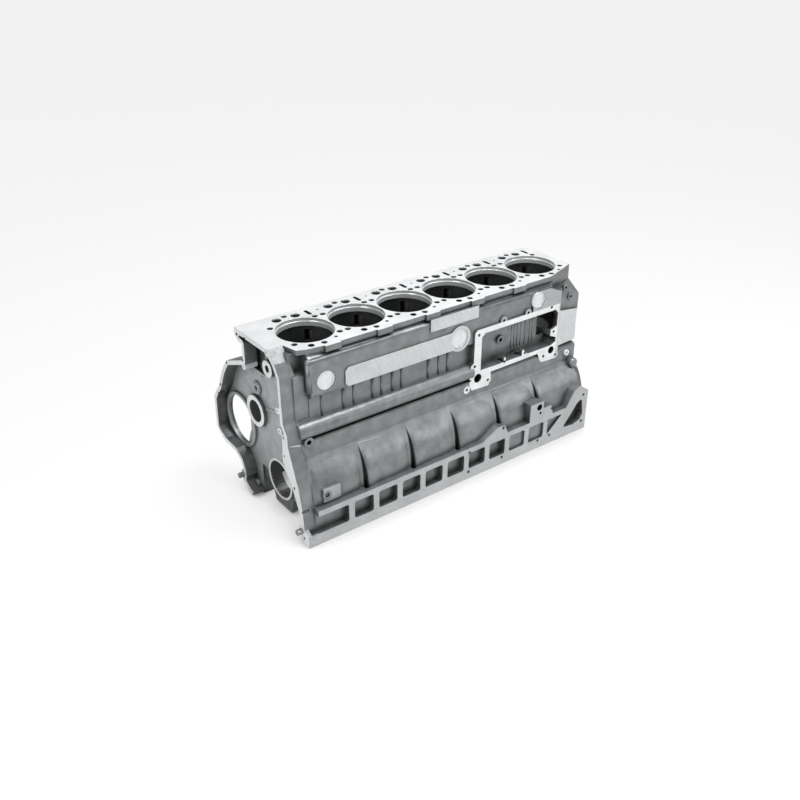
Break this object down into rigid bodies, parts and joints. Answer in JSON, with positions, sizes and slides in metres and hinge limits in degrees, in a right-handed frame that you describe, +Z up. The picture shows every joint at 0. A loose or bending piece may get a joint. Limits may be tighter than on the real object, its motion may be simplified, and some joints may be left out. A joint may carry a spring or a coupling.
{
  "type": "engine block",
  "caption": "Cast-iron block of an in-line truck diesel, with open deck bores for wet liners, a ribbed crankcase, main bearing caps and a gear case at one end.",
  "frame": {"origin": "on the crankshaft axis, in the middle of the middle main bearing", "axes": "+X along the crankshaft, from the gear end to the flywheel end; +Y towards the camshaft side; +Z up to the deck"},
  "size_m": [1.022, 0.471, 0.5],
  "materials": {
    "block_casting": "as cast, machined on its joint faces",
    "cap_casting": "machined all over",
    "plug_steel": "pressed sheet steel",
    "dowel_steel": "ground steel"
  },
  "bodies": {
    "root": {"cylinder_block": "block_casting", "main_bearing_cap_1": "cap_casting", "main_bearing_cap_2": "cap_casting", "main_bearing_cap_3": "cap_casting", "main_bearing_cap_4": "cap_casting", "main_bearing_cap_5": "cap_casting", "main_bearing_cap_6": "cap_casting", "main_bearing_cap_7": "cap_casting", "core_plug_front": "plug_steel", "core_plug_middle": "plug_steel", "core_plug_rear": "plug_steel", "camshaft_end_plug": "plug_steel", "gear_case_dowels": "dowel_steel"}
  },
  "joints": []
}
